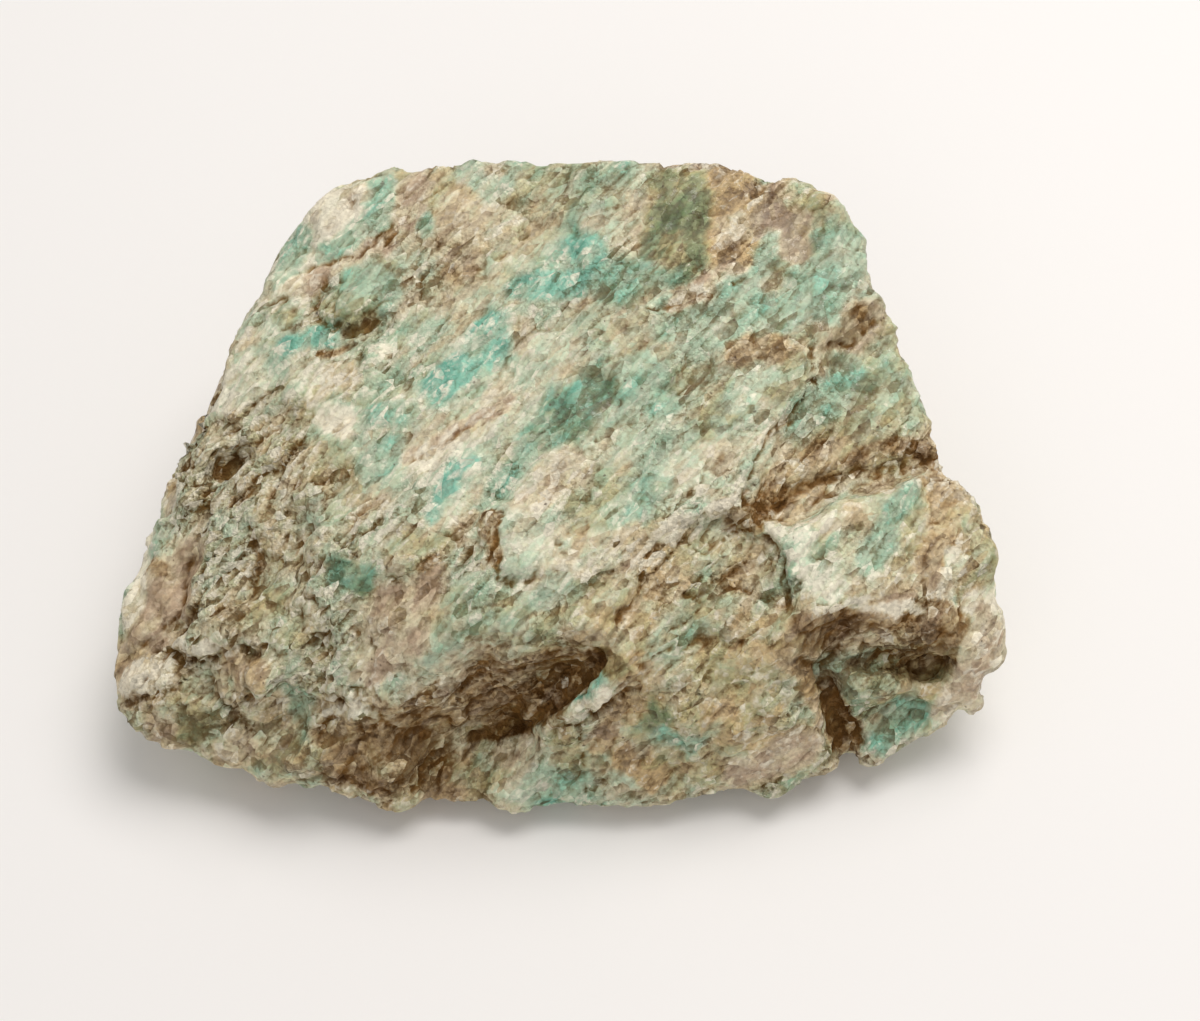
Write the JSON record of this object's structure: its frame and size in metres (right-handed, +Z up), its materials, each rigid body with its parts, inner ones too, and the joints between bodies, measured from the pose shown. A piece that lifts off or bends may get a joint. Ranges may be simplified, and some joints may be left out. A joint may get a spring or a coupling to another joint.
{
  "type": "rough amazonite",
  "caption": "Rough block of green amazonite with quartz: a broad sloping cleavage face on top, broken hollow front, small flat rest spot under it.",
  "frame": {"origin": "on the surface that the stone rests on, under the middle of its bounding box", "axes": "+X along the long front edge to the right as seen from the front, +Y from the broken front to the high back edge, +Z up"},
  "size_m": [0.1498, 0.1106, 0.0513],
  "materials": {
    "stone": "rough broken feldspar, satin on its cleavage faces"
  },
  "bodies": {
    "root": {"amazonite": "stone"}
  },
  "joints": []
}
